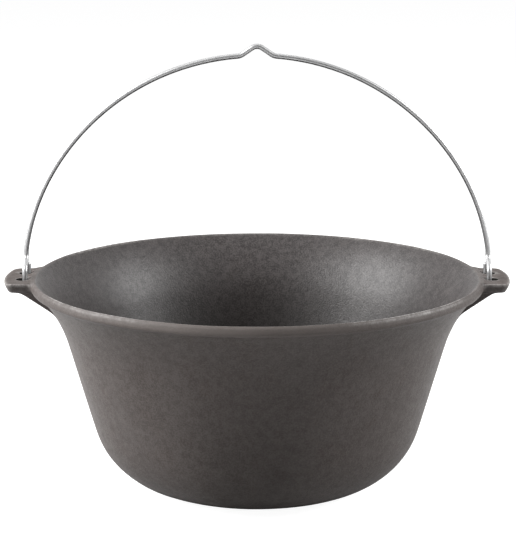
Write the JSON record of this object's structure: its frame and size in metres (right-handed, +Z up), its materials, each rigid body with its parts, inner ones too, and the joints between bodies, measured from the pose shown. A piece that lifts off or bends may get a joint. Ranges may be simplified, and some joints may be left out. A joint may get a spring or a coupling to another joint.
{
  "type": "cooking pot",
  "caption": "Flared open cooking pot with a flat base, a thickened rim, wide flat ears and a bent wire bail that has a peak for a hanging hook.",
  "frame": {"origin": "centre of the flat base, on the surface that the pot stands on", "axes": "+Z up, +X from the pot's axis to one ear, so the bail's arch lies in the XZ plane at rest"},
  "size_m": [0.38, 0.34, 0.3337],
  "materials": {
    "cast_iron": "fine sand-cast grain, dull dark brown-grey",
    "wire": "bright drawn wire"
  },
  "bodies": {
    "pot": {"pot": "cast_iron"},
    "bail": {"bail": "wire"}
  },
  "joints": [
    {"name": "bail_rock", "type": "hinge", "parent": "pot", "child": "bail", "pos_m": [0, 0, 0.1615], "axis": [1, 0, 0], "range_deg": [-14, 14]}
  ]
}
